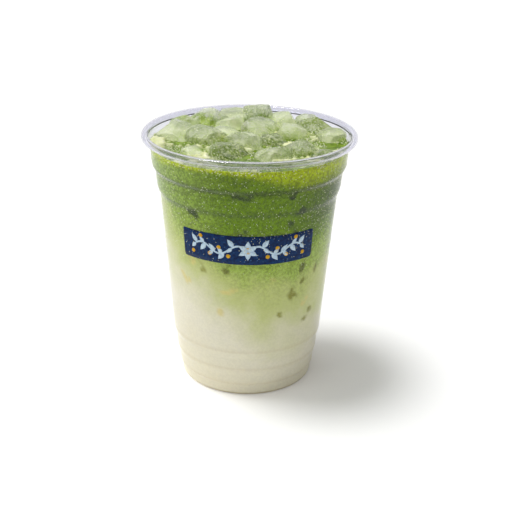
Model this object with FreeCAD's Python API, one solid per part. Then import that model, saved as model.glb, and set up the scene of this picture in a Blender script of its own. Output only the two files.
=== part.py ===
import FreeCAD, Part
import math
import os
import random

from FreeCAD import Rotation, Vector

# Iced matcha latte in a clear takeaway cup. Millimetres, +Z up.
# The origin is on the cup's axis, at the surface that the cup stands on.
# The front of the cup faces -Y.

# Cup
cup_height = 119.3
rim_diameter = 98.0
wall = 0.5
draft = 0.0794  # how much wider the wall gets for each millimetre of height
roll_radius = 1.6  # of the lip, which is rolled outwards and down
roll_end = 115.0  # degrees that the roll goes on past its outermost point

# Ledges that the wall steps in by, going down: (height, step)
flare_ledge = (3.0, 0.9)
lid_ledge = (4.0, 1.4)
stacking_ledge = (6.5, 1.15)
grip_ledge = (4.5, 0.7)
heel_ledge = (4.0, 0.65)
foot_ledge = (1.5, 0.7)

# Where each ledge is: the top of the upper ones below the lip's top, and
# the bottom of the lower ones above the floor
flare_ledge_depth = 2.8
lid_ledge_depth = 13.3
stacking_ledge_depth = 22.8
grip_ledge_height = 20.0
heel_ledge_height = 10.5
foot_ledge_height = 5.0

# Base
corner_radius = 1.5
standing_width = 1.4
punt_height = 2.6
punt_slope_width = 2.0

# Drink
headspace = 5.8  # from the lip's top down to the drink's surface
milk_depth = 61.0  # from the punt up to the mean line where milk meets matcha
swirl_depth = 5.0  # how far that line wanders up and down
swirl_points = 9  # along each side of the grid that carries the meeting surface

# Ice
ice_size = 15.5  # width of a chunk whose scale is 1
ice_facets = 10
ice_roundness = 0.60  # radius of the melted corners' sphere, in chunk widths
ice_gap = 0.5  # drink between two neighbouring chunks
ice_wall_gap = 0.4  # drink between a chunk and the cup

# Chunks that reach the surface: place across and back from the axis as shares
# of the cup's inner radius at the surface, scale, and height above the drink
ice_places = [
    (-0.73, 0.19, 1.16, 8.6),
    (-0.70, 0.54, 0.84, 6.2),
    (-0.46, 0.72, 1.00, 8.4),
    (-0.19, 0.79, 1.04, 7.6),
    (0.08, 0.80, 0.96, 7.8),
    (0.36, 0.75, 1.02, 7.0),
    (0.60, 0.69, 0.52, 5.8),
    (0.67, 0.46, 1.02, 7.2),
    (0.83, 0.19, 0.76, 7.0),
    (-0.44, 0.07, 1.00, 8.8),
    (-0.24, 0.26, 0.84, 4.6),
    (-0.06, -0.08, 1.00, 7.4),
    (-0.20, -0.43, 1.16, 6.4),
    (0.24, 0.03, 1.06, 5.6),
    (0.22, -0.49, 1.04, 6.8),
    (0.52, -0.26, 1.14, 6.2),
    (0.72, -0.46, 0.84, 5.0),
    (-0.50, -0.41, 1.02, 3.8),
    (-0.21, 0.52, 1.00, 6.0),
    (0.10, 0.42, 1.04, 7.8),
    (0.42, 0.30, 1.02, 6.4),
    (-0.36, -0.78, 0.92, 2.6),
    (0.04, -0.82, 0.92, 2.8),
    (0.43, -0.75, 0.92, 3.0),
]

# Worked out from the sizes above
rim_radius = rim_diameter / 2.0
roll_centre_radius = rim_radius - roll_radius
roll_centre_height = cup_height - roll_radius
neck_radius = roll_centre_radius - roll_radius + wall  # outside of the wall, under the roll
drink_level = cup_height - headspace
punt_top = punt_height + wall
milk_level = punt_top + milk_depth
half_space = 4.0 * rim_diameter  # side of the blocks that cut along a plane


def line(start, end):
    """Straight edge between two (radius, height) points."""
    return Part.makeLine(Vector(start[0], 0, start[1]), Vector(end[0], 0, end[1]))


def arc(centre, radius, start_angle, end_angle):
    """Arc in the section plane, from one angle to the other in degrees."""

    def at(angle):
        turn = math.radians(angle)
        return Vector(centre[0] + radius * math.cos(turn), 0, centre[1] + radius * math.sin(turn))

    return Part.Arc(at(start_angle), at((start_angle + end_angle) / 2.0), at(end_angle)).toShape()


def s_curve(start, end, lean):
    """Ledge that leaves start and reaches end along the wall's own draft."""
    half_height = (end[1] - start[1]) / 2.0
    curve = Part.BezierCurve()
    curve.setPoles([
        Vector(start[0], 0, start[1]),
        Vector(start[0] + lean * half_height, 0, start[1] + half_height),
        Vector(end[0] - lean * half_height, 0, end[1] - half_height),
        Vector(end[0], 0, end[1]),
    ])
    return curve.toShape()


def ledges():
    """(bottom, top, step) of each ledge, from the lip down."""
    rows = []
    for depth, (height, step) in (
        (flare_ledge_depth, flare_ledge),
        (lid_ledge_depth, lid_ledge),
        (stacking_ledge_depth, stacking_ledge),
    ):
        rows.append((cup_height - depth - height, cup_height - depth, step))
    for bottom, (height, step) in (
        (grip_ledge_height, grip_ledge),
        (heel_ledge_height, heel_ledge),
        (foot_ledge_height, foot_ledge),
    ):
        rows.append((bottom, bottom + height, step))
    return rows


def wall_stations():
    """Outside of the wall as (radius, height) points, from the roll down to the base."""
    radius = neck_radius
    height = roll_centre_height
    stations = [(radius, height)]
    for bottom, top, step in ledges():
        radius -= draft * (height - top)
        stations.append((radius, top))
        radius -= draft * (top - bottom) + step
        stations.append((radius, bottom))
        height = bottom
    radius -= draft * (height - corner_radius)
    stations.append((radius, corner_radius))
    return stations


def wall_edges(inset):
    """Edges down the wall, moved in by inset; every second stretch is a ledge."""
    points = [(radius - inset, height) for radius, height in wall_stations()]
    edges = []
    for index in range(len(points) - 1):
        upper, lower = points[index], points[index + 1]
        if index % 2:
            edges.append(s_curve(lower, upper, draft))
        else:
            edges.append(line(upper, lower))
    return edges


def base_edges(inset, raise_by):
    """Edges of the base from the wall to the axis: corner, standing ring, slope and punt."""
    wall_end = wall_stations()[-1][0]
    corner_centre = (wall_end - corner_radius, corner_radius)
    radius = corner_radius - inset
    ring_outer = wall_end - corner_radius
    ring_inner = ring_outer - standing_width
    slope_top = ring_inner - punt_slope_width
    ring_height = raise_by
    punt = punt_height + raise_by
    return [
        arc(corner_centre, radius, 0.0, -90.0),
        line((ring_outer, ring_height), (ring_inner, ring_height)),
        line((ring_inner, ring_height), (slope_top, punt)),
        line((slope_top, punt), (0.0, punt)),
    ]


def turn_round(edges):
    """Solid made by turning a closed outline once round the cup's axis."""
    wire = Part.Wire(Part.sortEdges(edges)[0])
    return Part.Face(wire).revolve(Vector(0, 0, 0), Vector(0, 0, 1), 360.0)


def make_cup():
    """Thin wall, rolled lip, stepped ledges and a base raised inside its standing ring."""
    centre = (roll_centre_radius, roll_centre_height)
    inner_roll = roll_radius - wall
    end_angle = -roll_end
    turn = math.radians(end_angle)
    roll_tip_outside = (
        centre[0] + roll_radius * math.cos(turn),
        centre[1] + roll_radius * math.sin(turn),
    )
    roll_tip_inside = (
        centre[0] + inner_roll * math.cos(turn),
        centre[1] + inner_roll * math.sin(turn),
    )
    edges = wall_edges(0.0) + base_edges(0.0, 0.0)
    edges += wall_edges(wall) + base_edges(wall, wall)
    edges += [
        arc(centre, roll_radius, 180.0, end_angle),
        line(roll_tip_outside, roll_tip_inside),
        arc(centre, inner_roll, 180.0, end_angle),
        line((0.0, punt_height), (0.0, punt_top)),
    ]
    return turn_round(edges)


def make_inside(gap):
    """Space inside the cup, a gap clear of its wall and base, carried on up past the lip."""
    top = cup_height + rim_radius
    neck = neck_radius - wall - gap
    edges = wall_edges(wall + gap) + base_edges(wall + gap, wall + gap)
    edges += [
        line((neck, roll_centre_height), (neck, top)),
        line((neck, top), (0.0, top)),
        line((0.0, top), (0.0, punt_top + gap)),
    ]
    return turn_round(edges)


def beyond(point, normal):
    """Block on the far side of a plane, the side that the normal points to."""
    block = Part.makeBox(half_space, half_space, half_space, Vector(-half_space / 2, -half_space / 2, 0))
    block.Placement = FreeCAD.Placement(point, Rotation(Vector(0, 0, 1), normal))
    return block


def cut_flat(solid, point, normal):
    """The solid, without what lies past the plane."""
    return solid.cut(beyond(point, normal)).Solids[0]


def scattered_directions(count, dice):
    """Unit vectors spread over a sphere on a spiral, each nudged a little."""
    golden_turn = math.pi * (3.0 - math.sqrt(5.0))
    start_turn = dice.uniform(0.0, 2.0 * math.pi)
    directions = []
    for index in range(count):
        z = 1.0 - 2.0 * (index + 0.5) / count
        flat = math.sqrt(1.0 - z * z)
        turn = start_turn + golden_turn * index
        nudge = Vector(dice.uniform(-0.3, 0.3), dice.uniform(-0.3, 0.3), dice.uniform(-0.3, 0.3))
        directions.append((Vector(flat * math.cos(turn), flat * math.sin(turn), z) + nudge).normalize())
    return directions


def make_chunk(index, place):
    """Melted lump of ice: a ball cut flat on several sides, with its top at its set height."""
    across, back, scale, above = place
    dice = random.Random(101 + index)
    width = ice_size * scale
    chunk = Part.makeSphere(width * ice_roundness)
    for direction in scattered_directions(ice_facets, dice):
        reach = width / 2.0 * dice.uniform(0.84, 1.06)
        chunk = cut_flat(chunk, direction * reach, direction)
    surface_radius = neck_radius - wall
    chunk.translate(Vector(
        across * surface_radius,
        back * surface_radius,
        drink_level + above - chunk.BoundBox.ZMax,
    ))
    return chunk


def part_from_neighbours(chunks):
    """Cut each chunk back along the plane half-way to each neighbour that it might meet."""
    centres = [chunk.CenterOfMass for chunk in chunks]
    widths = [ice_size * place[2] for place in ice_places]
    parted = []
    for index, chunk in enumerate(chunks):
        for other, centre in enumerate(centres):
            apart = centre - centres[index]
            reach = (widths[index] + widths[other]) * ice_roundness + ice_gap
            if other == index or apart.Length > reach:
                continue
            share = widths[index] / (widths[index] + widths[other])
            distance = apart.Length * share - ice_gap / 2.0
            normal = Vector(apart).normalize()
            chunk = cut_flat(chunk, centres[index] + normal * distance, normal)
        parted.append(chunk)
    return parted


def make_ice():
    """All the chunks at the surface, clear of each other and of the cup."""
    room = make_inside(ice_wall_gap)
    chunks = [make_chunk(index, place) for index, place in enumerate(ice_places)]
    return [chunk.common(room).Solids[0] for chunk in part_from_neighbours(chunks)]


def meeting_height(across, back):
    """Height where milk meets matcha: higher on the left, with a green tongue at the right."""
    slope = -0.62 * across
    roll = 0.30 * math.sin(2.6 * back + 0.8)
    ripple = 0.26 * math.cos(4.2 * across - 1.1 * back)
    return milk_level + swirl_depth * (slope + roll + ripple)


def make_below_meeting():
    """Everything under the wavy surface where milk meets matcha."""
    reach = 1.3 * rim_radius
    rows = []
    for row in range(swirl_points):
        across = 2.0 * row / (swirl_points - 1) - 1.0
        points = []
        for column in range(swirl_points):
            back = 2.0 * column / (swirl_points - 1) - 1.0
            points.append(Vector(reach * across, reach * back, meeting_height(across, back)))
        rows.append(points)
    surface = Part.BSplineSurface()
    surface.interpolate(rows)
    return surface.toShape().extrude(Vector(0, 0, -2.0 * cup_height))


def make_drink(ice):
    """Milk below and matcha above it, both out to the wall, with the matcha round the ice."""
    level = beyond(Vector(0, 0, drink_level), Vector(0, 0, 1))
    filling = make_inside(0.0).cut(level)
    below = make_below_meeting()
    milk = filling.common(below)
    matcha = filling.cut(below).cut(ice)
    return milk, matcha


def save(name, shape):
    """Write one sub-part, and say how many solids it has and whether it is sound."""
    shape.exportStep("parts/%s.step" % name)
    print(name, len(shape.Solids), shape.isValid(), round(shape.Volume, 1))


def main():
    os.makedirs("parts", exist_ok=True)
    ice = make_ice()
    milk, matcha = make_drink(ice)
    save("cup", make_cup())
    save("milk_layer", milk)
    save("matcha_layer", matcha)
    for number, chunk in enumerate(ice, start=1):
        save("ice_%02d" % number, chunk)


main()
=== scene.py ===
import math
import random

import bmesh
import bpy
from mathutils import Matrix, Vector, noise
from mathutils.bvhtree import BVHTree


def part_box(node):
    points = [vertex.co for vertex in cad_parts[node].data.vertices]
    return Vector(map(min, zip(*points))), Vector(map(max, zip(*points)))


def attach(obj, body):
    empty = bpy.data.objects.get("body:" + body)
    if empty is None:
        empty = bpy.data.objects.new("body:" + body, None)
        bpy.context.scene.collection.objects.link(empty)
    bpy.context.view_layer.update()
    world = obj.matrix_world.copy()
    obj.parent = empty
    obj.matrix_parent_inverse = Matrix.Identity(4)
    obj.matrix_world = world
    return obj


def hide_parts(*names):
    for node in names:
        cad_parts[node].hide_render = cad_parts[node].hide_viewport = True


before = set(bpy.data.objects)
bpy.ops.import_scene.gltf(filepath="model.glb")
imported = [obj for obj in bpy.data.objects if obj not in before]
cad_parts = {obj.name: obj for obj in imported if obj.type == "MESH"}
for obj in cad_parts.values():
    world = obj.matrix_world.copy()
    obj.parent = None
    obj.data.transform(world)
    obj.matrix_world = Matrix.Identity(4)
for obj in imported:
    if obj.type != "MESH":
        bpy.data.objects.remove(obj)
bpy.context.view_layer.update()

# Iced matcha latte in a clear takeaway cup. Metres, +Z up, with the front of the cup facing -Y.
MM = 0.001

# Cup, as it is in the frame
cup_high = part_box("cup")[1]
rim_radius = cup_high.x
cup_height = cup_high.z
wall = 0.5 * MM
draft = 0.0794
roll_radius = 1.6 * MM
roll_end = math.radians(115.0)
corner_radius = 1.5 * MM
standing_width = 1.4 * MM
punt_height = 2.6 * MM
punt_slope_width = 2.0 * MM
neck_radius = rim_radius - 2.0 * roll_radius + wall
roll_centre = (rim_radius - roll_radius, cup_height - roll_radius)

# Ledges of the wall from the lip down: (height of its top, its own height, step)
ledges = [
    (cup_height - 2.8 * MM, 3.0 * MM, 0.9 * MM),
    (cup_height - 13.3 * MM, 4.0 * MM, 1.4 * MM),
    (cup_height - 22.8 * MM, 6.5 * MM, 1.15 * MM),
    (24.5 * MM, 4.5 * MM, 0.7 * MM),
    (14.5 * MM, 4.0 * MM, 0.65 * MM),
    (6.5 * MM, 1.5 * MM, 0.7 * MM),
]
foot_height = 30.0 * MM  # the last three ledges lie below it

# Drink
drink_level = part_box("matcha_layer")[1].z
bite = 0.15 * MM  # how far the drink reaches into the wall, so that no air shows between them
turn_steps = 400  # round the cup, for the drink
cup_steps = 240
meniscus_rise = 0.5 * MM

# Printed panel on the front
panel_low = 69.9 * MM
panel_high = 83.5 * MM
panel_reach = math.radians(45.5)  # each way from the front
panel_middle = (panel_low + panel_high) / 2.0
panel_corner = 1.0 * MM
print_thickness = 0.05 * MM
panel_lift = 0.03 * MM  # of each print's face above the wall
frieze_lift = 0.07 * MM


# --- Meshes ---------------------------------------------------------------------------------


def new_object(name, mesh):
    """Object at the origin that carries the mesh."""
    piece = bpy.data.objects.new(name, mesh)
    bpy.context.scene.collection.objects.link(piece)
    return piece


def poured(shape, mesh):
    """Put a working shape into a mesh and let the shape go."""
    shape.to_mesh(mesh)
    shape.free()
    return mesh


def mesh_from(name, points, faces, smooth=True):
    """Mesh from points and faces, with its faces turned outwards."""
    mesh = bpy.data.meshes.new(name)
    mesh.from_pydata(points, [], faces)
    shape = bmesh.new()
    shape.from_mesh(mesh)
    bmesh.ops.recalc_face_normals(shape, faces=shape.faces)
    poured(shape, mesh)
    mesh.polygons.foreach_set("use_smooth", [smooth] * len(mesh.polygons))
    return mesh


def turned(name, outline, steps):
    """Mesh made by turning (radius, height) points round the axis; points on the axis become poles."""
    points, rings = [], []
    for radius, height in outline:
        if radius < 1e-7:
            rings.append([len(points)])
            points.append((0.0, 0.0, height))
            continue
        rings.append(list(range(len(points), len(points) + steps)))
        for step in range(steps):
            turn = 2.0 * math.pi * step / steps
            points.append((radius * math.sin(turn), -radius * math.cos(turn), height))
    faces = []
    for lower, upper in zip(rings, rings[1:]):
        for step in range(steps):
            after = (step + 1) % steps
            if len(lower) == 1:
                faces.append((lower[0], upper[after], upper[step]))
            elif len(upper) == 1:
                faces.append((lower[step], lower[after], upper[0]))
            else:
                faces.append((lower[step], lower[after], upper[after], upper[step]))
    return mesh_from(name, points, faces)


def strip_faces(start, columns, rows):
    """Faces of a grid of points, row after row."""
    faces = []
    for row in range(rows):
        for column in range(columns):
            first = start + row * (columns + 1) + column
            faces.append((first, first + 1, first + columns + 2, first + columns + 1))
    return faces


def middle_of(mesh):
    """Mean of a mesh's points."""
    return sum((vertex.co for vertex in mesh.vertices), Vector()) / len(mesh.vertices)


def face_search(*pieces):
    """Search tree over the faces of several pieces, and the piece that each face belongs to."""
    points, faces, owners = [], [], []
    for piece in pieces:
        start = len(points)
        points += [vertex.co.copy() for vertex in piece.data.vertices]
        faces += [[start + corner for corner in face.vertices] for face in piece.data.polygons]
        owners += [piece] * len(piece.data.polygons)
    return BVHTree.FromPolygons(points, faces), owners


def paint(mesh, name, values):
    """Store one number for each point, for a material or a scatter to read."""
    layer = mesh.attributes.new(name, "FLOAT", "POINT")
    layer.data.foreach_set("value", values)


def smooth_step(low, high, value):
    """0 below low, 1 above high, and an even S between them."""
    share = min(1.0, max(0.0, (value - low) / (high - low)))
    return share * share * (3.0 - 2.0 * share)


# --- Outline of the cup ---------------------------------------------------------------------


def arc_points(centre, radius, start, end, count):
    """(radius, height) points along an arc, both ends included; angles in radians."""
    turns = [start + (end - start) * step / (count - 1) for step in range(count)]
    return [(centre[0] + radius * math.cos(t), centre[1] + radius * math.sin(t)) for t in turns]


def ledge_points(upper, lower, count=14):
    """Points down an S-shaped ledge that leaves and reaches the wall along its draft."""
    half = (upper[1] - lower[1]) / 2.0
    bend = (upper[0] - draft * half, lower[0] + draft * half)
    middle = (upper[1] + lower[1]) / 2.0
    points = []
    for step in range(1, count + 1):
        t = step / count
        a, b, c, d = (1 - t) ** 3, 3 * t * (1 - t) ** 2, 3 * t * t * (1 - t), t ** 3
        points.append((
            a * upper[0] + b * bend[0] + c * bend[1] + d * lower[0],
            a * upper[1] + (b + c) * middle + d * lower[1],
        ))
    return points


def wall_outline():
    """Outside of the wall from the lip's roll down to the corner of the base."""
    radius, height = neck_radius, roll_centre[1]
    points = [(radius, height)]
    for top, tall, step in ledges:
        radius -= draft * (height - top)
        points.append((radius, top))
        lower = (radius - draft * tall - step, top - tall)
        points += ledge_points((radius, top), lower)
        radius, height = lower
    radius -= draft * (height - corner_radius)
    points.append((radius, corner_radius))
    return points


wall_points = wall_outline()


def radius_at(height):
    """Radius of the outside of the wall at a height."""
    for upper, lower in zip(wall_points, wall_points[1:]):
        if height >= lower[1]:
            share = (height - lower[1]) / (upper[1] - lower[1])
            return lower[0] + (upper[0] - lower[0]) * min(1.0, share)
    return wall_points[-1][0]


def base_outline(inset, raise_by):
    """From the corner in to the axis: corner, standing ring, slope and punt."""
    ring_outer = wall_points[-1][0] - corner_radius
    ring_inner = ring_outer - standing_width
    slope_top = ring_inner - punt_slope_width
    points = arc_points((ring_outer, corner_radius), corner_radius - inset, 0.0, -math.pi / 2.0, 8)[1:]
    points += [
        (ring_inner, raise_by),
        (slope_top, punt_height + raise_by),
        (slope_top * 0.5, punt_height + raise_by),
        (0.0, punt_height + raise_by),
    ]
    return points


def on_wall(turn, height, lift=0.0):
    """Point on the outside of the wall; turn is 0 at the front and grows towards +X."""
    radius = radius_at(height) + lift
    return Vector((radius * math.sin(turn), -radius * math.cos(turn), height))


# --- Node trees -----------------------------------------------------------------------------


class Nodes:
    """Short ways to add nodes to a tree and to join them."""

    def __init__(self, tree):
        self.tree = tree

    def add(self, kind, inputs=None, **settings):
        node = self.tree.nodes.new(kind)
        for name, value in settings.items():
            setattr(node, name, value)
        for socket, value in (inputs or {}).items():
            self.feed(node.inputs[socket], value)
        return node

    def feed(self, socket, value):
        if isinstance(value, bpy.types.NodeSocket):
            self.tree.links.new(value, socket)
        else:
            socket.default_value = value

    def math(self, operation, first, second=0.0, third=0.0, clamp=False):
        values = {0: first, 1: second, 2: third}
        node = self.add("ShaderNodeMath", values, operation=operation, use_clamp=clamp)
        return node.outputs[0]

    def times(self, first, second):
        return self.math("MULTIPLY", first, second)

    def plus(self, first, second):
        return self.math("ADD", first, second)

    def minus(self, first, second):
        return self.math("SUBTRACT", first, second)

    def remap(self, value, low, high, to_low=0.0, to_high=1.0, smooth=True):
        kind = "SMOOTHSTEP" if smooth else "LINEAR"
        node = self.add(
            "ShaderNodeMapRange",
            {"Value": value, "From Min": low, "From Max": high, "To Min": to_low, "To Max": to_high},
            interpolation_type=kind,
        )
        return node.outputs[0]

    def blend(self, share, first, second, mode="MIX"):
        node = self.add("ShaderNodeMix", data_type="RGBA", blend_type=mode)
        self.feed(node.inputs["Factor"], share)
        self.feed(node.inputs[6], first)
        self.feed(node.inputs[7], second)
        return node.outputs[2]

    def noise(self, place, scale, detail=2.0, roughness=0.5):
        values = {"Vector": place, "Scale": scale, "Detail": detail, "Roughness": roughness}
        return self.add("ShaderNodeTexNoise", values).outputs[0]

    def place(self):
        """Position on the piece."""
        return self.add("ShaderNodeTexCoord").outputs["Object"]

    def painted(self, name):
        """Share that is painted on the piece under this name."""
        return self.add("ShaderNodeAttribute", attribute_name=name).outputs["Fac"]

    def group(self, tree, values):
        """Outputs of a node group that is given these named inputs."""
        return self.add("ShaderNodeGroup", values, node_tree=tree).outputs

    def toward(self, direction, side):
        """How far a direction points to a side, from -1 to 1."""
        values = {0: direction, 1: side}
        return self.add("ShaderNodeVectorMath", values, operation="DOT_PRODUCT").outputs["Value"]

    def ramp(self, value, stops):
        node = self.add("ShaderNodeValToRGB", {0: value})
        ramp = node.color_ramp
        while len(ramp.elements) < len(stops):
            ramp.elements.new(0.5)
        for element, (position, colour) in zip(ramp.elements, stops):
            element.position = position
            element.color = colour
        return node.outputs[0]


def linear(red, green, blue):
    """Colour for a shader from red, green and blue as they look on a screen, 0 to 255."""
    shades = []
    for shade in (red, green, blue):
        share = shade / 255.0
        shades.append(share / 12.92 if share <= 0.04045 else ((share + 0.055) / 1.055) ** 2.4)
    return (*shades, 1.0)


def new_material(name):
    """Empty material, its node helper and its output node."""
    material = bpy.data.materials.new(name)
    material.use_nodes = True
    material.node_tree.nodes.clear()
    nodes = Nodes(material.node_tree)
    return material, nodes, nodes.add("ShaderNodeOutputMaterial")


def let_lamps_through(nodes, output, shader, tint):
    """Clear material that lamps and soft light pass straight through, so that what is behind is lit."""
    path = nodes.add("ShaderNodeLightPath")
    share = nodes.math("MAXIMUM", path.outputs["Is Shadow Ray"], path.outputs["Is Diffuse Ray"])
    clear = nodes.add("ShaderNodeBsdfTransparent", {"Color": tint})
    mix = nodes.add("ShaderNodeMixShader", {0: share, 1: shader, 2: clear.outputs[0]})
    nodes.feed(output.inputs["Surface"], mix.outputs[0])


def group_tree(name, kind, inputs, outputs):
    """Node group with named inputs (name, socket, default) and outputs (name, socket)."""
    tree = bpy.data.node_groups.new(name, kind)
    for label, socket, default in inputs:
        made = tree.interface.new_socket(label, in_out="INPUT", socket_type=socket)
        if default is not None:
            made.default_value = default
    for label, socket in outputs:
        tree.interface.new_socket(label, in_out="OUTPUT", socket_type=socket)
    nodes = Nodes(tree)
    return tree, nodes, nodes.add("NodeGroupInput"), nodes.add("NodeGroupOutput")


def run_tree(piece, tree, values):
    """Give a piece a geometry tree with these inputs and turn the result into its plain mesh."""
    modifier = piece.modifiers.new(tree.name, "NODES")
    modifier.node_group = tree
    for item in tree.interface.items_tree:
        if item.item_type == "SOCKET" and item.in_out == "INPUT" and item.name in values:
            modifier[item.identifier] = values[item.name]
    return settle(piece)


def settle(piece):
    """Turn a piece and its modifiers into a plain mesh."""
    graph = bpy.context.evaluated_depsgraph_get()
    mesh = bpy.data.meshes.new_from_object(piece.evaluated_get(graph))
    piece.modifiers.clear()
    old = piece.data
    piece.data = mesh
    bpy.data.meshes.remove(old)
    return piece


# --- Materials ------------------------------------------------------------------------------


def speckle_group():
    """Fine scattered specks: a mask of small round spots of uneven size."""
    tree, nodes, source, result = group_tree(
        "Fine specks",
        "ShaderNodeTree",
        [
            ("Vector", "NodeSocketVector", None),
            ("Specks per metre", "NodeSocketFloat", 900.0),
            ("Size", "NodeSocketFloat", 0.25),
        ],
        [("Mask", "NodeSocketFloat")],
    )
    cells = nodes.add(
        "ShaderNodeTexVoronoi",
        {"Vector": source.outputs["Vector"], "Scale": source.outputs["Specks per metre"]},
    )
    chance = nodes.add("ShaderNodeSeparateColor", {0: cells.outputs["Color"]})
    size = nodes.times(source.outputs["Size"], chance.outputs[0])
    near = nodes.math("LESS_THAN", cells.outputs["Distance"], size)
    nodes.feed(result.inputs["Mask"], near)
    return tree


fine_specks = speckle_group()


def make_clear_plastic():
    """Thin clear plastic of the cup, with faint haze where it was stretched in forming."""
    material, nodes, output = new_material("clear_plastic")
    place = nodes.place()
    haze = nodes.noise(place, 60.0, 3.0)
    bump = nodes.add("ShaderNodeBump", {"Height": haze, "Strength": 0.08, "Distance": 0.2 * MM})
    shader = nodes.add("ShaderNodeBsdfPrincipled", {
        "Base Color": linear(231, 231, 239),
        "Roughness": nodes.remap(haze, 0.35, 0.7, 0.02, 0.06),
        "Transmission Weight": 1.0,
        "IOR": 1.35,
        "Normal": bump.outputs[0],
    })
    let_lamps_through(nodes, output, shader.outputs[0], (0.97, 0.97, 0.98, 1.0))
    return material


# Colour of the drink over its height, as shares of its level
drink_stops = [
    (0.00, linear(246, 239, 208)),
    (0.22, linear(248, 243, 214)),
    (0.34, linear(234, 233, 190)),
    (0.44, linear(212, 219, 144)),
    (0.53, linear(196, 208, 120)),
    (0.60, linear(166, 190, 82)),
    (0.70, linear(128, 158, 36)),
    (0.80, linear(108, 142, 2)),
    (0.92, linear(101, 133, 0)),
    (1.00, linear(103, 131, 0)),
]
bright_edge = linear(182, 200, 0)
# Painted light: paler green for the lit left side of the drink
painted_light_green = linear(158, 184, 84)
# Painted shade: darker green for the shaded right side of the drink
painted_shade_green = linear(52, 72, 0)
sag_bow = -12.0
sag_slope = 0.38
sag_drop = 3.0 * MM

# Softly lit liquid, for the shader of both of the drink's materials
milky = {
    "Subsurface Weight": 0.2,
    "Subsurface Radius": (1.0, 1.0, 0.6),
    "Subsurface Scale": 1.5 * MM,
}


def layered_colour_group():
    """Colour of the drink's side: cream, a clouded meeting zone that hangs lower in the middle, and green,
    with painted light on its left and painted shade on its right.
    """
    tree, nodes, source, result = group_tree(
        "Layered drink",
        "ShaderNodeTree",
        [
            ("Place", "NodeSocketVector", None),
            ("Level", "NodeSocketFloat", 0.11),
            ("Swirl", "NodeSocketFloat", 0.01),
            ("Bright edge", "NodeSocketFloat", 0.005),
        ],
        [("Color", "NodeSocketColor"), ("Green", "NodeSocketFloat")],
    )
    place = source.outputs["Place"]
    parts = nodes.add("ShaderNodeSeparateXYZ", {0: place})
    across, height = parts.outputs[0], parts.outputs[2]
    wide = nodes.minus(nodes.noise(place, 24.0, 2.0, 0.5), 0.5)
    fine = nodes.minus(nodes.noise(place, 80.0, 4.0, 0.6), 0.5)
    wander = nodes.plus(wide, nodes.times(fine, 0.75))
    # The green hangs down in the middle, lower on the right than on the left, and stays level at the top
    bow = nodes.times(nodes.times(across, across), sag_bow)
    sag = nodes.plus(bow, nodes.math("MULTIPLY_ADD", across, sag_slope, sag_drop))
    shift = nodes.plus(nodes.times(wander, source.outputs["Swirl"]), sag)
    calm_from, calm_at = (nodes.times(source.outputs["Level"], part) for part in (0.78, 0.92))
    lower = nodes.remap(height, calm_from, calm_at, 1.0, 0.0)
    moved = nodes.plus(height, nodes.times(shift, lower))
    share = nodes.math("DIVIDE", moved, source.outputs["Level"])
    colour = nodes.ramp(share, drink_stops)
    # Painted light: the green turns paler towards the left, where the key light falls.
    leftwards = nodes.remap(across, -6.0 * MM, -38.0 * MM)
    painted_light_left = nodes.times(leftwards, nodes.remap(share, 0.58, 0.78))
    colour = nodes.blend(nodes.times(painted_light_left, 0.75), colour, painted_light_green)
    # Painted shade: the green turns darker towards the right, away from the light.
    rightwards = nodes.remap(across, 14.0 * MM, 44.0 * MM)
    painted_shade_right = nodes.times(rightwards, nodes.remap(share, 0.68, 0.85))
    colour = nodes.blend(nodes.times(painted_shade_right, 0.7), colour, painted_shade_green)
    # The bright edge under the surface is a crescent, broadest on the right
    depth = nodes.minus(source.outputs["Level"], height)
    broad = nodes.remap(across, -10.0 * MM, 26.0 * MM, 0.35, 1.5)
    spread = nodes.math("MAXIMUM", nodes.plus(broad, nodes.times(wide, 2.0)), 0.2)
    reach = nodes.times(source.outputs["Bright edge"], spread)
    edge = nodes.math("SUBTRACT", 1.0, nodes.math("DIVIDE", depth, reach), clamp=True)
    edge = nodes.remap(edge, 0.0, 1.0)
    colour = nodes.blend(nodes.times(edge, 0.9), colour, bright_edge)
    nodes.feed(result.inputs["Color"], colour)
    nodes.feed(result.inputs["Green"], nodes.remap(share, 0.45, 0.7))
    return tree


layered_drink = layered_colour_group()


def make_side_material():
    """Milk and matcha behind the wall, with what is sunk near it showing dimly through, and painted shade
    along the ledges and at the bottom.
    """
    material, nodes, output = new_material("layered_latte")
    place = nodes.place()
    layers = nodes.group(layered_drink, {
        "Place": place,
        "Level": drink_level,
        "Swirl": 34.0 * MM,
        "Bright edge": 8.0 * MM,
    })
    colour, green = layers["Color"], layers["Green"]
    through = nodes.blend(green, linear(146, 146, 50), linear(50, 64, 30))
    colour = nodes.blend(nodes.times(nodes.painted("dark_ice"), 0.9), colour, through)
    through = nodes.blend(green, linear(232, 218, 134), linear(150, 170, 80))
    colour = nodes.blend(nodes.times(nodes.painted("pale_ice"), 0.7), colour, through)
    # Painted shade: darker along the ledges and at the bottom of the drink
    ledge_shade = nodes.blend(green, linear(196, 176, 118), linear(36, 54, 6))
    colour = nodes.blend(nodes.times(nodes.painted("ledge"), 0.6), colour, ledge_shade)
    mottle = nodes.noise(place, 850.0, 3.0, 0.65)
    depth = nodes.remap(green, 0.0, 1.0, 0.05, 0.6, smooth=False)
    grain = nodes.minus(nodes.remap(mottle, 0.42, 0.58, smooth=False), 0.5)
    shade = nodes.plus(nodes.times(grain, depth), 1.0)
    grey = nodes.add("ShaderNodeCombineColor", {0: shade, 1: shade, 2: shade}).outputs[0]
    colour = nodes.blend(1.0, colour, grey, "MULTIPLY")
    shader = nodes.add("ShaderNodeBsdfPrincipled", {
        "Base Color": colour,
        "Roughness": nodes.remap(mottle, 0.3, 0.7, 0.45, 0.6),
        "IOR": 1.12,
        **milky,
    })
    nodes.feed(output.inputs["Surface"], shader.outputs[0])
    return material


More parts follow.
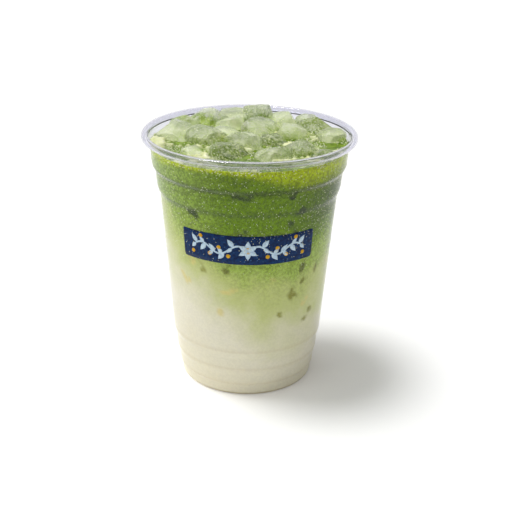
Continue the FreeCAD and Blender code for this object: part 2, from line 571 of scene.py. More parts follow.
def make_surface_material():
    """Top of the drink: glossy green, paler under the ice, with cream-coloured froth in the crevices."""
    material, nodes, output = new_material("latte_surface")
    place = nodes.place()
    froth = nodes.painted("froth")
    under = nodes.painted("under_ice")
    mottle = nodes.noise(place, 260.0, 4.0, 0.6)
    colour = nodes.blend(nodes.remap(mottle, 0.35, 0.65), linear(88, 116, 26), linear(136, 164, 48))
    speck = nodes.remap(nodes.noise(place, 950.0, 2.0, 0.6), 0.5, 0.6)
    clear_pocket = nodes.blend(speck, linear(84, 106, 34), linear(232, 236, 184))
    pale_pocket = nodes.blend(speck, linear(206, 218, 152), linear(250, 252, 226))
    cloudy = nodes.painted("cloudy")
    colour = nodes.blend(under, colour, nodes.blend(cloudy, clear_pocket, pale_pocket))
    froth_colour = nodes.blend(nodes.remap(mottle, 0.35, 0.65), linear(214, 220, 148), linear(243, 244, 208))
    colour = nodes.blend(froth, colour, froth_colour)
    grain = nodes.noise(place, 1100.0, 3.0, 0.6)
    bump = nodes.add("ShaderNodeBump", {"Height": grain, "Strength": 0.4, "Distance": 0.2 * MM})
    shader = nodes.add("ShaderNodeBsdfPrincipled", {
        "Base Color": colour,
        "Roughness": nodes.remap(froth, 0.0, 1.0, 0.16, 0.55),
        "IOR": 1.34,
        **milky,
        "Normal": bump.outputs[0],
    })
    nodes.feed(output.inputs["Surface"], shader.outputs[0])
    return material


def make_ice_material():
    """Wet ice, clear in places and clouded in others: green at its foot, paler and whiter towards its top."""
    material, nodes, output = new_material("wet_ice")
    place = nodes.place()
    height = nodes.add("ShaderNodeSeparateXYZ", {0: place}).outputs[2]
    wide = nodes.noise(place, 60.0, 2.0)
    cloud = nodes.noise(place, 260.0, 6.0, 0.7)
    climb = nodes.plus(height, nodes.times(nodes.minus(wide, 0.5), 22.0 * MM))
    above = nodes.remap(climb, drink_level - 1.0 * MM, drink_level + 4.5 * MM)
    cloudy = nodes.painted("cloudy")
    speck = nodes.remap(nodes.noise(place, 900.0, 2.0, 0.6), 0.5, 0.6)
    clear_foot = nodes.blend(speck, linear(98, 126, 26), linear(226, 232, 176))
    foot = nodes.blend(cloudy, clear_foot, linear(166, 192, 84))
    clear_head = nodes.blend(speck, linear(138, 164, 66), linear(236, 242, 206))
    head = nodes.blend(cloudy, clear_head, linear(250, 253, 238))
    colour = nodes.blend(above, foot, head)
    cracks = nodes.add("ShaderNodeTexVoronoi", {"Vector": place, "Scale": 240.0}, feature="DISTANCE_TO_EDGE")
    vein = nodes.remap(cracks.outputs["Distance"], 0.0, 0.06, 1.0, 0.0)
    pale = nodes.math("MAXIMUM", nodes.remap(cloud, 0.5, 0.6), nodes.times(vein, 0.6))
    share = nodes.times(pale, nodes.remap(cloudy, 0.0, 1.0, 0.45, 0.85))
    colour = nodes.blend(share, colour, linear(255, 255, 250))
    pits = nodes.noise(place, 760.0, 5.0, 0.7)
    bump = nodes.add("ShaderNodeBump", {"Height": pits, "Strength": 0.9, "Distance": 0.45 * MM})
    shader = nodes.add("ShaderNodeBsdfPrincipled", {
        "Base Color": colour,
        "Roughness": nodes.remap(cloud, 0.35, 0.65, 0.02, 0.2),
        "Transmission Weight": 0.7,
        "IOR": 1.31,
        "Normal": bump.outputs[0],
    })
    let_lamps_through(nodes, output, shader.outputs[0], (0.97, 0.99, 0.9, 1.0))
    return material


def make_bead_material():
    """Condensed water and trapped air: small bright grains, whose pale colour on the clear water beads is a
    painted glint.
    """
    material, nodes, output = new_material("bright_beads")
    place = nodes.place()
    shade = nodes.noise(place, 700.0, 1.0)
    shader = nodes.add("ShaderNodeBsdfPrincipled", {
        # Pale colour: the white of trapped air, and a painted glint on the water beads
        "Base Color": nodes.blend(shade, linear(228, 234, 160), linear(255, 255, 238)),
        "Roughness": nodes.remap(shade, 0.3, 0.7, 0.08, 0.25),
        "IOR": 1.45,
        "Coat Weight": 1.0,
    })
    nodes.feed(output.inputs["Surface"], shader.outputs[0])
    return material


def make_ink(name, dark, light, worn):
    """Printed ink, mottled by the drink and the wet wall behind it."""
    material, nodes, output = new_material(name)
    place = nodes.place()
    mottle = nodes.noise(place, 800.0, 3.0, 0.6)
    colour = nodes.blend(nodes.remap(mottle, 0.35, 0.65), dark, light)
    specks = nodes.group(fine_specks, {"Vector": place, "Specks per metre": 700.0, "Size": 0.22})
    colour = nodes.blend(nodes.times(specks["Mask"], 0.4), colour, worn)
    shader = nodes.add("ShaderNodeBsdfPrincipled", {
        "Base Color": colour,
        "Roughness": nodes.remap(mottle, 0.3, 0.7, 0.3, 0.5),
        "IOR": 1.25,
    })
    nodes.feed(output.inputs["Surface"], shader.outputs[0])
    return material


clear_plastic = make_clear_plastic()
latte_side = make_side_material()
latte_surface = make_surface_material()
wet_ice = make_ice_material()
bright_beads = make_bead_material()
navy_ink = make_ink("navy_ink", linear(0, 22, 64), linear(8, 52, 100), linear(90, 130, 175))
mustard_ink = make_ink("mustard_ink", linear(205, 152, 20), linear(226, 178, 44), linear(240, 205, 110))
pale_ink = make_ink("pale_ink", linear(176, 202, 222), linear(206, 226, 238), linear(232, 242, 248))


# --- Cup ------------------------------------------------------------------------------------


def make_cup():
    """Clear cup: outside from the punt up to the lip, round the roll, and down the inside."""
    outside = list(reversed(wall_points + base_outline(0.0, 0.0)))
    roll = arc_points(roll_centre, roll_radius, math.pi, -roll_end, 30)
    under_roll = arc_points(roll_centre, roll_radius - wall, -roll_end, math.pi, 24)
    inside = [(radius - wall, height) for radius, height in wall_points] + base_outline(wall, wall)
    outline = inside[::-1] + roll[1:] + under_roll[:-1] + outside[::-1]
    return turned("clear_cup", outline, cup_steps)


cup = new_object("clear_cup", make_cup())
cup.data.set_sharp_from_angle(angle=math.radians(50.0))
cup.data.materials.append(clear_plastic)
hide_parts("cup")
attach(cup, "root")


# --- Ice at the surface ---------------------------------------------------------------------


def melted_relief_tree():
    """Swells a lump, then hollows its skin into shallow scoops with ridges between them, and ripples it."""
    tree, nodes, source, result = group_tree(
        "Melted relief",
        "GeometryNodeTree",
        [
            ("Geometry", "NodeSocketGeometry", None),
            ("Swell", "NodeSocketFloat", 0.0005),
            ("Scoops per metre", "NodeSocketFloat", 120.0),
            ("Scoop depth", "NodeSocketFloat", 0.001),
            ("Ripples per metre", "NodeSocketFloat", 420.0),
            ("Ripple depth", "NodeSocketFloat", 0.0003),
            ("Seed", "NodeSocketFloat", 0.0),
        ],
        [("Geometry", "NodeSocketGeometry")],
    )
    scoops = nodes.add(
        "ShaderNodeTexVoronoi",
        {"W": source.outputs["Seed"], "Scale": source.outputs["Scoops per metre"], "Smoothness": 0.12},
        voronoi_dimensions="4D", feature="SMOOTH_F1",
    )
    hollow = nodes.times(nodes.minus(scoops.outputs["Distance"], 0.55), source.outputs["Scoop depth"])
    waves = nodes.add(
        "ShaderNodeTexNoise",
        {"W": source.outputs["Seed"], "Scale": source.outputs["Ripples per metre"], "Detail": 2.0},
        noise_dimensions="4D",
    )
    ripple = nodes.times(nodes.minus(waves.outputs[0], 0.5), source.outputs["Ripple depth"])
    total = nodes.plus(nodes.plus(hollow, ripple), source.outputs["Swell"])
    normal = nodes.add("GeometryNodeInputNormal").outputs[0]
    offset = nodes.add("ShaderNodeVectorMath", {0: normal, "Scale": total}, operation="SCALE")
    skin = source.outputs["Geometry"]
    moved = nodes.add("GeometryNodeSetPosition", {"Geometry": skin, "Offset": offset.outputs[0]})
    smooth = nodes.add("GeometryNodeSetShadeSmooth", {"Geometry": moved.outputs[0]})
    joined = nodes.add("GeometryNodeRealizeInstances", {"Geometry": smooth.outputs[0]})
    coloured = nodes.add("GeometryNodeSetMaterial", {"Geometry": joined.outputs[0], "Material": wet_ice})
    nodes.feed(result.inputs["Geometry"], coloured.outputs[0])
    return tree


melted_relief = melted_relief_tree()


ice_grid = 0.38 * MM  # size of the faces of the ice
ice_gap = 0.5 * MM  # between the ice and the wall
chips = 12  # flat faces pressed into each lump, the first few of them on its top
top_chips = 3
chip_depths = (0.70, 0.88)  # where a chip cuts, as a share of the lump's reach that way
chip_pressing = 0.92


def melt(piece, seed):
    """Take the edge off a faceted lump and give it the uneven skin of melting ice."""
    remesh = piece.modifiers.new("even_skin", "REMESH")
    remesh.mode = "VOXEL"
    remesh.voxel_size = ice_grid
    rounding = piece.modifiers.new("rounding", "SMOOTH")
    rounding.factor = 0.5
    rounding.iterations = 1
    settle(piece)
    run_tree(piece, melted_relief, {
        "Swell": 1.25 * MM,
        "Scoops per metre": 100.0,
        "Scoop depth": 2.6 * MM,
        "Ripples per metre": 420.0,
        "Ripple depth": 0.45 * MM,
        "Seed": seed * 1.7,
    })
    chip(piece.data, random.Random(seed * 31))
    keep_inside(piece.data, ice_gap)
    return piece


def chip(mesh, dice):
    """Press flat faces into a lump, as where it broke off a larger block."""
    middle = middle_of(mesh)
    for number in range(chips):
        rise = dice.uniform(1.6, 3.0) if number < top_chips else dice.uniform(-0.3, 1.0)
        facing = Vector((dice.uniform(-1.0, 1.0), dice.uniform(-1.0, 1.0), rise)).normalized()
        furthest = max(facing.dot(vertex.co - middle) for vertex in mesh.vertices)
        limit = furthest * dice.uniform(*chip_depths)
        for vertex in mesh.vertices:
            over = facing.dot(vertex.co - middle) - limit
            if over > 0.0:
                vertex.co -= facing * over * chip_pressing


def keep_inside(mesh, gap):
    """Draw in the points of a mesh that come nearer than the gap to the inside of the wall."""
    for vertex in mesh.vertices:
        from_axis = math.hypot(vertex.co.x, vertex.co.y)
        limit = radius_at(vertex.co.z) - wall - gap
        if from_axis > limit:
            vertex.co.x *= limit / from_axis
            vertex.co.y *= limit / from_axis


def merged_copy(name, node):
    """Copy of a CAD node's mesh with its loose triangles joined up."""
    shape = bmesh.new()
    shape.from_mesh(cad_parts[node].data)
    bmesh.ops.remove_doubles(shape, verts=shape.verts, dist=1e-6)
    mesh = poured(shape, bpy.data.meshes.new(name))
    mesh.materials.clear()
    return new_object(name, mesh)


# Where the clearest lumps lie, in millimetres across and back; the others are clouded
clear_places = [
    (-10, -22), (-12, -1), (2, 28), (27, 4), (29, 16), (36, -24), (17, -14), (8, 6), (5, -30),
]


def cloudiness(piece, dice):
    """How clouded a lump is, from 0 to 1."""
    middle = middle_of(piece.data)
    nearest = min(math.hypot(middle.x - across * MM, middle.y - back * MM) for across, back in clear_places)
    return smooth_step(5.0 * MM, 13.0 * MM, nearest) * dice.uniform(0.75, 1.0)


ice_nodes = sorted(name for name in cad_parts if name.startswith("ice_"))
top_ice = []
clouding = {}
cloud_dice = random.Random(3)
for number, node in enumerate(ice_nodes, start=1):
    lump = melt(merged_copy("ice_lump_%02d" % number, node), number)
    clouding[lump.name] = cloudiness(lump, cloud_dice)
    paint(lump.data, "cloudy", [clouding[lump.name]] * len(lump.data.vertices))
    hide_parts(node)
    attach(lump, "root")
    top_ice.append(lump)


# --- Ice sunk near the wall -----------------------------------------------------------------

# Each lump: degrees round from the front, height, width along the wall, height along the wall,
# lean in degrees, and how near its face comes to the wall, all in millimetres but the angles
dark_lumps = [
    (-3, 102, 7.5, 3.6, 8, 0.15),
    (27, 102, 4.6, 4.4, 0, 0.3),
    (-38, 92.6, 7.2, 4.8, -25, 0.1),
    (34, 94, 5.6, 3.6, 20, 0.25),
    (27, 88, 3.6, 8.5, 35, 0.1),
    (-3, 85.5, 4.0, 5.0, 10, 0.4),
    (-15, 67.4, 6.4, 4.4, -30, 0.05),
    (-32, 67.0, 3.6, 7.0, 20, 0.6),
    (39, 65, 3.0, 5.4, 5, 0.2),
    (53, 62, 3.0, 6.0, 0, 0.25),
    (33, 53, 3.8, 5.6, 0, 0.05),
    (41, 59, 3.0, 2.4, 30, 0.4),
    (51, 41, 3.6, 3.0, 40, 0.2),
    (25, 43.5, 3.6, 2.6, 0, 0.75),
    (46, 37.5, 3.4, 2.2, 35, 0.5),
]
pale_lumps = [
    (-47, 58, 6.0, 4.8, -20, 0.05),
    (-12, 56, 9.0, 2.6, 0, 0.2),
    (-40, 68, 3.0, 5.0, 15, 0.3),
    (-19, 45, 5.0, 4.0, 15, 0.6),
    (17, 62, 5.0, 3.4, -20, 0.5),
    (45, 48, 4.0, 5.0, 20, 0.45),
]


sunk_skin = 0.12 * MM  # least thickness of drink between a sunk lump and the wall


def strewn_lumps(seed, count):
    """The same kind of lumps for the parts of the wall away from the front."""
    dice = random.Random(seed)
    return [(
        dice.uniform(66.0, 294.0),
        dice.uniform(38.0, 104.0),
        dice.uniform(3.0, 7.5),
        dice.uniform(2.6, 6.5),
        dice.uniform(-40.0, 40.0),
        dice.uniform(0.05, 0.7),
    ) for _ in range(count)]


def make_sunk_ice(name, places):
    """Uneven lumps just inside the drink's side, as one mesh."""
    whole = bmesh.new()
    for index, (degrees, height, width, tall, lean, gap) in enumerate(places):
        turn = math.radians(degrees)
        size = Vector((width * 0.62, (width + tall) * 0.4, tall * 0.62)) * MM
        reach = radius_at(height * MM) - wall + bite - gap * MM - size.y
        centre = Vector((reach * math.sin(turn), -reach * math.cos(turn), height * MM))
        place = Matrix.Translation(centre) @ Matrix.Rotation(turn, 4, "Z")
        place = place @ Matrix.Rotation(math.radians(-lean), 4, "Y") @ Matrix.Diagonal((*size, 1.0))
        lump = bmesh.new()
        bmesh.ops.create_icosphere(lump, subdivisions=3, radius=1.0)
        for vertex in lump.verts:
            push = noise.noise(vertex.co * 1.7 + Vector((index * 3.7, 0.0, 0.0)))
            vertex.co *= 1.0 + 0.7 * push
            vertex.co = place @ vertex.co
        mesh = poured(lump, bpy.data.meshes.new("lump"))
        whole.from_mesh(mesh)
        bpy.data.meshes.remove(mesh)
    mesh = poured(whole, bpy.data.meshes.new(name))
    keep_inside(mesh, sunk_skin - bite)
    mesh.polygons.foreach_set("use_smooth", [True] * len(mesh.polygons))
    mesh.materials.append(wet_ice)
    piece = new_object(name, mesh)
    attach(piece, "root")
    return piece


sunk_ice = make_sunk_ice("sunk_ice", dark_lumps + strewn_lumps(7, 34))
sunk_pale_ice = make_sunk_ice("sunk_pale_ice", pale_lumps + strewn_lumps(19, 12))


# --- Drink ----------------------------------------------------------------------------------


def drink_outline():
    """Side and base of the drink from its surface down, in short steps so that it can be painted."""
    shift = wall - bite
    rows = 118
    side = []
    for row in range(rows + 1):
        height = drink_level + (corner_radius - drink_level) * row / rows
        side.append((radius_at(height) - shift, height))
    return side + base_outline(shift, shift)


# Where froth gathers on the surface, and where it stays open: (across, back, reach) in millimetres
froth_places = [
    (-13, 9, 9), (-24, -31, 10), (16, -4, 6), (33, 24, 6), (-2, 26, 6), (29, -27, 6), (-38, 6, 6),
]
open_places = [(36, -4, 9), (3, -27, 8), (-33, -17, 7)]
froth_rise = 1.5 * MM
pocket_depth = 1.4 * MM
pocket_gap = 0.25 * MM  # between the underside of a lump and the floor of its pocket
meniscus_reach = 0.7 * MM
surface_rings = 74
seen_from = 0.15 * MM  # a sunk lump shows through the side fully at this distance, and not at all at the next
seen_until = 1.2 * MM


def surface_point(across, back, ice_search, ice_owners):
    """Height of the surface and the lump above it: a pocket under a lump, a meniscus beside one."""
    point = Vector((across, back, drink_level))
    down = ice_search.ray_cast(point, Vector((0.0, 0.0, -1.0)))
    if down[0] is not None and down[1].z < 0.0:
        return max(down[0].z + pocket_gap, drink_level - pocket_depth), ice_owners[down[2]]
    beside = ice_search.find_nearest(point)[3]
    wall_gap = radius_at(drink_level) - wall - math.hypot(across, back)
    climb = sum(math.exp(-max(0.0, gap) / meniscus_reach) for gap in (beside, wall_gap))
    swell = noise.noise(Vector((across, back, 0.0)) * 160.0)
    return drink_level + meniscus_rise * climb + 0.15 * MM * swell, None


def nearness(place, spots):
    """1 in the middle of a spot and 0 outside it, added up over the spots."""
    aways = [math.hypot(place.x - across * MM, place.y - back * MM) / (reach * MM)
             for across, back, reach in spots]
    return sum(max(0.0, 1.0 - away * away) for away in aways)


def froth_share(place, curd):
    """How much froth covers the surface at a place, from 0 to 1."""
    patch = noise.noise(place * 85.0 + Vector((3.1, 0.0, 0.0)))
    patch += 0.7 * nearness(place, froth_places) - 0.9 * nearness(place, open_places)
    return smooth_step(0.12, 0.42, patch + 0.35 * curd)


def ledge_shade_share(height):
    """Share of painted shade at a height, from 0 to 1: under the ledges, in thin lines at the lower ledges'
    tops, and at the bottom.
    """
    if height > drink_level - 2.0 * MM:
        return 0.0
    # Painted shade where the drink meets the base
    if height < 2.0 * corner_radius:
        return 1.0 - smooth_step(0.5 * MM, 1.5 * MM, height)
    # Painted shade where the wall steps in; below the foot height only a faint band and a thin painted line
    # at each ledge's top
    slope = (radius_at(height + 0.4 * MM) - radius_at(height - 0.4 * MM)) / (0.8 * MM)
    ledge_shade = smooth_step(0.1, 0.45, slope - draft)
    if height < foot_height:
        nearest = min(abs(height - top) for top, _, _ in ledges)
        ledge_shade = 0.1 * ledge_shade + 0.32 * math.exp(-(nearest / (0.7 * MM)) ** 2)
    return ledge_shade


def make_drink():
    """Drink as one closed mesh: side, base, and a surface with pockets for the ice."""
    side = drink_outline()
    top = [(side[0][0] * ring / surface_rings, drink_level) for ring in range(surface_rings)]
    mesh = turned("latte", top + side, turn_steps)
    ice_search, ice_owners = face_search(*top_ice)
    sunk = {"dark_ice": face_search(sunk_ice)[0], "pale_ice": face_search(sunk_pale_ice)[0]}
    top_count = 1 + (surface_rings - 1) * turn_steps
    last_top = top_count + turn_steps
    painted = {name: [] for name in ("froth", "under_ice", "cloudy", "dark_ice", "pale_ice", "ledge")}
    for index, vertex in enumerate(mesh.vertices):
        place = vertex.co.copy()
        here = dict.fromkeys(painted, 0.0)
        if index < last_top:
            height, lump = surface_point(place.x, place.y, ice_search, ice_owners)
            curd = noise.noise(place * 420.0)
            if lump:
                here["under_ice"], here["cloudy"] = 1.0, clouding[lump.name]
            else:
                here["froth"] = froth_share(place, curd)
                if index < top_count:
                    height += here["froth"] * froth_rise * (0.8 + 0.3 * curd)
            vertex.co.z = height
        else:
            for name, search in sunk.items():
                here[name] = 1.0 - smooth_step(seen_from, seen_until, search.find_nearest(place)[3])
        # Painted shade along the ledges and at the bottom
        here["ledge"] = ledge_shade_share(place.z)
        for name, share in here.items():
            painted[name].append(share)
    for name, shares in painted.items():
        paint(mesh, name, shares)
    mesh.materials.append(latte_side)
    mesh.materials.append(latte_surface)
    on_top = [int(max(face.vertices) < last_top) for face in mesh.polygons]
    mesh.polygons.foreach_set("material_index", on_top)
    return mesh


drink = new_object("latte", make_drink())
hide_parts("milk_layer", "matcha_layer")
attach(drink, "root")


# --- Beads and bubbles ----------------------------------------------------------------------


def scattered_beads_tree():
    """Small balls strewn over a surface, thicker where the painted share is higher."""
    tree, nodes, source, result = group_tree(
        "Scattered beads",
        "GeometryNodeTree",
        [
            ("Geometry", "NodeSocketGeometry", None),
            ("Beads per square metre", "NodeSocketFloat", 100000.0),
            ("Smallest", "NodeSocketFloat", 0.0001),
            ("Largest", "NodeSocketFloat", 0.0003),
            ("Seed", "NodeSocketInt", 1),
            ("Material", "NodeSocketMaterial", None),
        ],
        [("Geometry", "NodeSocketGeometry")],
    )
    share = nodes.add("GeometryNodeInputNamedAttribute", {"Name": "wetness"}, data_type="FLOAT").outputs[0]
    density = nodes.times(share, source.outputs["Beads per square metre"])
    strewn = nodes.add("GeometryNodeDistributePointsOnFaces", {
        "Mesh": source.outputs["Geometry"],
        "Density": density,
        "Seed": source.outputs["Seed"],
    })
    ball = nodes.add("GeometryNodeMeshIcoSphere", {"Radius": 1.0, "Subdivisions": 1})
    size = nodes.add("FunctionNodeRandomValue", {
        2: source.outputs["Smallest"],
        3: source.outputs["Largest"],
        "Seed": source.outputs["Seed"],
    }, data_type="FLOAT")
    placed = nodes.add("GeometryNodeInstanceOnPoints", {
        "Points": strewn.outputs["Points"],
        "Instance": ball.outputs[0],
        "Rotation": strewn.outputs["Rotation"],
        "Scale": size.outputs[1],
    })
    joined = nodes.add("GeometryNodeRealizeInstances", {"Geometry": placed.outputs[0]})
    smooth = nodes.add("GeometryNodeSetShadeSmooth", {"Geometry": joined.outputs[0]})
    coloured = nodes.add("GeometryNodeSetMaterial", {
        "Geometry": smooth.outputs[0],
        "Material": source.outputs["Material"],
    })
    nodes.feed(result.inputs["Geometry"], coloured.outputs[0])
    return tree


scattered_beads = scattered_beads_tree()


def strew(piece, density, smallest, largest, seed):
    """Turn a painted skin into the beads that lie on it: so many a square metre, sizes in millimetres."""
    return run_tree(piece, scattered_beads, {
        "Beads per square metre": density,
        "Smallest": smallest * MM,
        "Largest": largest * MM,
        "Seed": seed,
        "Material": bright_beads,
    })


# Condensation: the band it lies in, where it is thickest, and the drier front
band_low = 56.0 * MM
band_high = cup_height - 6.5 * MM
thin_below = 60.0 * MM
thick_above = 90.0 * MM
dry_front = -0.35  # radians round from the front


def wet_band():
    """Outside of the wall where water has condensed, painted with how thickly."""
    rows = 60
    heights = [band_high + (band_low - band_high) * row / rows for row in range(rows + 1)]
    mesh = turned("condensation", [(radius_at(height), height) for height in heights], 160)
    wetness = []
    for vertex in mesh.vertices:
        turn = math.atan2(vertex.co.x, -vertex.co.y)
        height_share = smooth_step(thin_below, thick_above, vertex.co.z)
        sides = 0.45 + 0.55 * smooth_step(0.0, 0.9, abs(turn - dry_front) - 0.2)
        patch = 0.8 + 0.5 * noise.noise(vertex.co * 60.0)
        wetness.append(max(0.0, height_share * sides * patch))
    paint(mesh, "wetness", wetness)
    return mesh


condensation = strew(new_object("condensation", wet_band()), 620000.0, 0.07, 0.22, 5)
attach(condensation, "root")


def exposed_top(name, faces_of, patch_scale, low, high, sink=0.0):
    """Upward skin of some pieces above the drink, sunk a little and painted with how many beads sit there."""
    points, faces, wetness = [], [], []
    for piece in faces_of:
        kept = {}
        for face in piece.data.polygons:
            centre = face.center
            if face.normal.z < -0.1 or centre.z < drink_level - 0.6 * MM:
                continue
            corners = []
            for corner in face.vertices:
                if corner not in kept:
                    place = piece.data.vertices[corner].co
                    kept[corner] = len(points)
                    points.append(place - piece.data.vertices[corner].normal * sink)
                    patch = noise.noise(place * patch_scale)
                    foot = 1.0 - smooth_step(0.5 * MM, 5.0 * MM, place.z - drink_level)
                    clearness = 1.4 - clouding.get(piece.name, 0.4)
                    wetness.append(smooth_step(low, high, patch) * (0.25 + foot) * clearness)
                corners.append(kept[corner])
            faces.append(corners)
    mesh = mesh_from(name, points, faces)
    paint(mesh, "wetness", wetness)
    return new_object(name, mesh)


frost_depth = 1.6 * MM
frost_skin = exposed_top("ice_frost", top_ice, 130.0, -0.1, 0.3, frost_depth)
ice_frost = strew(frost_skin, 2200000.0, 0.06, 0.26, 17)
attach(ice_frost, "root")

ice_beads = strew(exposed_top("ice_beads", top_ice, 110.0, -0.15, 0.35), 1200000.0, 0.05, 0.2, 11)
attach(ice_beads, "root")

bubble_skin = exposed_top("froth_bubbles", [drink], 150.0, -0.3, 0.3)
froth_bubbles = strew(bubble_skin, 1200000.0, 0.08, 0.34, 23)
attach(froth_bubbles, "root")


# --- Printed panel --------------------------------------------------------------------------


def printed(name, points, faces, ink):
    """Flat shapes on the wall given the thickness of print and their ink."""
    piece = new_object(name, mesh_from(name, points, faces))
    thickness = piece.modifiers.new("thickness", "SOLIDIFY")
    thickness.thickness = print_thickness
    thickness.offset = -1.0
    settle(piece)
    piece.data.materials.clear()
    piece.data.materials.append(ink)
    return piece


def panel_points(columns, rows):
    """Grid of points over the navy field, whose corners are a little rounded."""
    half_height = (panel_high - panel_low) / 2.0
    points = []
    for row in range(rows + 1):
        for column in range(columns + 1):
            turn = (2.0 * (column / columns) - 1.0) * panel_reach
            from_end = (panel_reach - abs(turn)) * radius_at(panel_middle)
            trim = 0.0
            if from_end < panel_corner:
                trim = panel_corner - math.sqrt(max(0.0, panel_corner ** 2 - (panel_corner - from_end) ** 2))
            height = panel_middle + (2.0 * (row / rows) - 1.0) * (half_height - trim)
            points.append(on_wall(turn, height, panel_lift))
    return points


panel_columns, panel_rows = 160, 6
panel_faces = strip_faces(0, panel_columns, panel_rows)
panel = printed("navy_panel", panel_points(panel_columns, panel_rows), panel_faces, navy_ink)
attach(panel, "root")


# --- Leaf-and-berry frieze on the panel ------------------------------------------------------


class Frieze:
    """Gathers flat shapes drawn on the panel, in millimetres from its middle, and wraps them on the wall."""

    def __init__(self):
        self.points = []
        self.faces = []

    def put(self, across, up):
        turn = across * MM / radius_at(panel_middle)
        self.points.append(on_wall(turn, panel_middle + up * MM, frieze_lift))

    def ribbon(self, path, widths):
        """Strip of these widths along a path."""
        start = len(self.points)
        for index, (across, up) in enumerate(path):
            before, after = path[max(0, index - 1)], path[min(len(path) - 1, index + 1)]
            along = Vector((after[0] - before[0], after[1] - before[1])).normalized()
            for side in (-0.5, 0.0, 0.5):
                self.put(across - along.y * side * widths[index], up + along.x * side * widths[index])
        self.faces += strip_faces(start, 2, len(path) - 1)

    def leaf(self, across, up, lean, length, width):
        """Pointed leaf that starts at a place and leans at an angle in degrees."""
        turn = math.radians(lean)
        shares = [step / 10.0 for step in range(11)]
        path = [(across + length * s * math.cos(turn), up + length * s * math.sin(turn)) for s in shares]
        self.ribbon(path, [max(0.06, width * math.sin(math.pi * s ** 0.8)) for s in shares])

    def berry(self, across, up, radius):
        start = len(self.points)
        corners = 20
        self.put(across, up)
        for corner in range(corners):
            turn = 2.0 * math.pi * corner / corners
            self.put(across + radius * math.cos(turn), up + radius * math.sin(turn))
        for corner in range(corners):
            self.faces.append((start, start + 1 + corner, start + 1 + (corner + 1) % corners))

    def finish(self, name, material):
        piece = printed(name, self.points, self.faces, material)
        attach(piece, "root")


# The frieze, in millimetres on the panel and in degrees
stem_start = 3.6
stem_step = 0.4
stem_points = 58
stem_width = 0.85
wave_height = 2.1
wave_length = 17.0
first_leaf = 6.3
leaf_spacing = 4.3
leaf_pairs = 5


def stem_height(across):
    """The stem waves up and down along the panel."""
    return wave_height * math.sin(abs(across) * 2.0 * math.pi / wave_length)


def lean_on(side, lean):
    """The same lean, mirrored on the left half."""
    return lean if side > 0 else 180.0 - lean


leaves, berries = Frieze(), Frieze()
for side in (-1, 1):
    along = [stem_start + stem_step * step for step in range(stem_points)]
    widths = [stem_width * min(1.0, (stem_points + 2 - step) / 12.0) for step in range(stem_points)]
    leaves.ribbon([(side * across, stem_height(across)) for across in along], widths)
    for number in range(leaf_pairs):
        across = first_leaf + leaf_spacing * number
        rise = 1 if number % 2 == 0 else -1
        leaves.leaf(side * across, stem_height(across), lean_on(side, 52.0 * rise), 4.4, 2.3)
        beyond = across + 0.8
        leaves.leaf(side * beyond, stem_height(beyond), lean_on(side, -48.0 * rise), 3.2, 1.8)
        berries.berry(side * (across + 2.4), stem_height(across + 2.4) - 2.9 * rise, 0.95)
for petal in range(6):
    leaves.leaf(0.0, 0.0, 30.0 + 60.0 * petal, 4.6, 2.5)
berries.berry(0.0, 0.0, 1.5)
leaves.finish("frieze_leaves", pale_ink)
berries.finish("frieze_berries", mustard_ink)


# --- Floor, light and camera ----------------------------------------------------------------


world_level = 0.24
soft_side_level = 0.8
soft_side = Vector((-0.88, 0.08, 0.52)).normalized()
low_side_level = 0.3
low_side = Vector((0.80, -0.60, 0.05)).normalized()
key_level = 1.75
key_side = Vector((-0.31, 0.07, 0.95)).normalized()
key_breadth = math.radians(19.0)
floor_reach = 3.0
floor_glow = 0.08

# Camera: millimetres of lens, metres of place, radians of turning
lens_length = 68.5
eye_place = (0.0, -0.4273, 0.2393)
look_down = math.radians(23.03)
heading_turn = -0.009
roll_turn = 0.018


def make_floor():
    """Large pale floor, white to the camera except where the cup shades it."""
    material, nodes, output = new_material("studio_floor")
    path = nodes.add("ShaderNodeLightPath")
    place = nodes.place()
    tone = nodes.noise(place, 3.0, 1.0)
    paint_tone = nodes.blend(tone, linear(253, 253, 253), linear(255, 255, 255))
    plain = nodes.add("ShaderNodeBsdfDiffuse", {"Color": paint_tone}).outputs[0]
    glow = nodes.add("ShaderNodeEmission", {"Color": (1.0, 1.0, 1.0, 1.0), "Strength": floor_glow}).outputs[0]
    lit = nodes.add("ShaderNodeAddShader", {0: plain, 1: glow}).outputs[0]
    mix = nodes.add("ShaderNodeMixShader", {0: path.outputs["Is Camera Ray"], 1: plain, 2: lit})
    nodes.feed(output.inputs["Surface"], mix.outputs[0])
    reach = floor_reach
    points = [(-reach, -reach, 0.0), (reach, -reach, 0.0), (reach, reach, 0.0), (-reach, reach, 0.0)]
    floor = new_object("studio_floor", mesh_from("studio_floor", points, [(0, 1, 2, 3)], smooth=False))
    floor.data.materials.append(material)


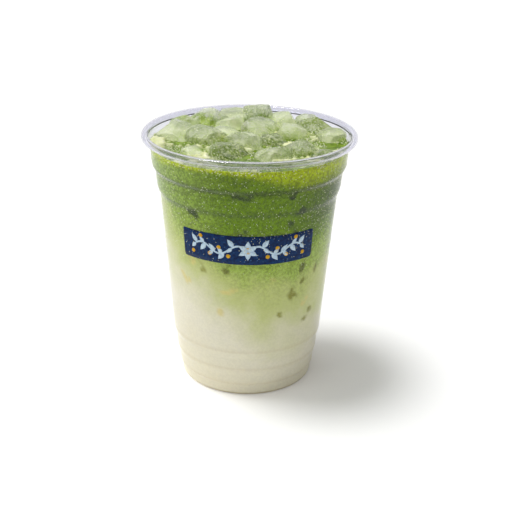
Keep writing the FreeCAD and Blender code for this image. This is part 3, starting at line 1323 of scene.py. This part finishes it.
def make_world():
    """White to the eye and in gloss; as light, dim with soft glows on the left and low on the right."""
    world = bpy.data.worlds.new("studio")
    bpy.context.scene.world = world
    world.use_nodes = True
    world.node_tree.nodes.clear()
    nodes = Nodes(world.node_tree)
    direction = nodes.add("ShaderNodeTexCoord").outputs["Generated"]
    left_level = world_level + soft_side_level
    soft = nodes.remap(nodes.toward(direction, soft_side), 0.3, 0.95, world_level, left_level)
    low = nodes.remap(nodes.toward(direction, low_side), 0.6, 0.95, 0.0, low_side_level)
    path = nodes.add("ShaderNodeLightPath")
    seen = nodes.math("MAXIMUM", path.outputs["Is Camera Ray"], path.outputs["Is Glossy Ray"])
    seen = nodes.math("MAXIMUM", seen, path.outputs["Is Transmission Ray"])
    strength = nodes.add("ShaderNodeMix", data_type="FLOAT")
    nodes.feed(strength.inputs["Factor"], seen)
    nodes.feed(strength.inputs[2], nodes.plus(soft, low))
    nodes.feed(strength.inputs[3], 1.0)
    white = (1.0, 1.0, 1.0, 1.0)
    sky = nodes.add("ShaderNodeBackground", {"Color": white, "Strength": strength.outputs[0]})
    output = nodes.add("ShaderNodeOutputWorld")
    nodes.feed(output.inputs["Surface"], sky.outputs[0])


def make_key_light():
    """Broad key light, high on the left and a little behind the cup."""
    lamp = bpy.data.lights.new("key", "SUN")
    lamp.energy = key_level
    lamp.angle = key_breadth
    key = bpy.data.objects.new("key", lamp)
    key.rotation_mode = "QUATERNION"
    key.rotation_quaternion = key_side.to_track_quat("Z", "Y")
    bpy.context.scene.collection.objects.link(key)


def make_camera():
    """Long lens, looking down at the cup from the front."""
    camera = bpy.data.cameras.new("camera")
    camera.lens = lens_length
    camera.sensor_width = 36.0
    eye = bpy.data.objects.new("camera", camera)
    tilt = Matrix.Rotation(math.pi / 2.0 - look_down, 4, "X")
    heading = Matrix.Rotation(heading_turn, 4, "Z")
    roll = Matrix.Rotation(roll_turn, 4, "Z")
    eye.matrix_world = Matrix.Translation(eye_place) @ heading @ tilt @ roll
    bpy.context.scene.collection.objects.link(eye)
    bpy.context.scene.camera = eye


make_floor()
make_world()
make_key_light()
make_camera()
bpy.context.scene.view_settings.view_transform = "Standard"
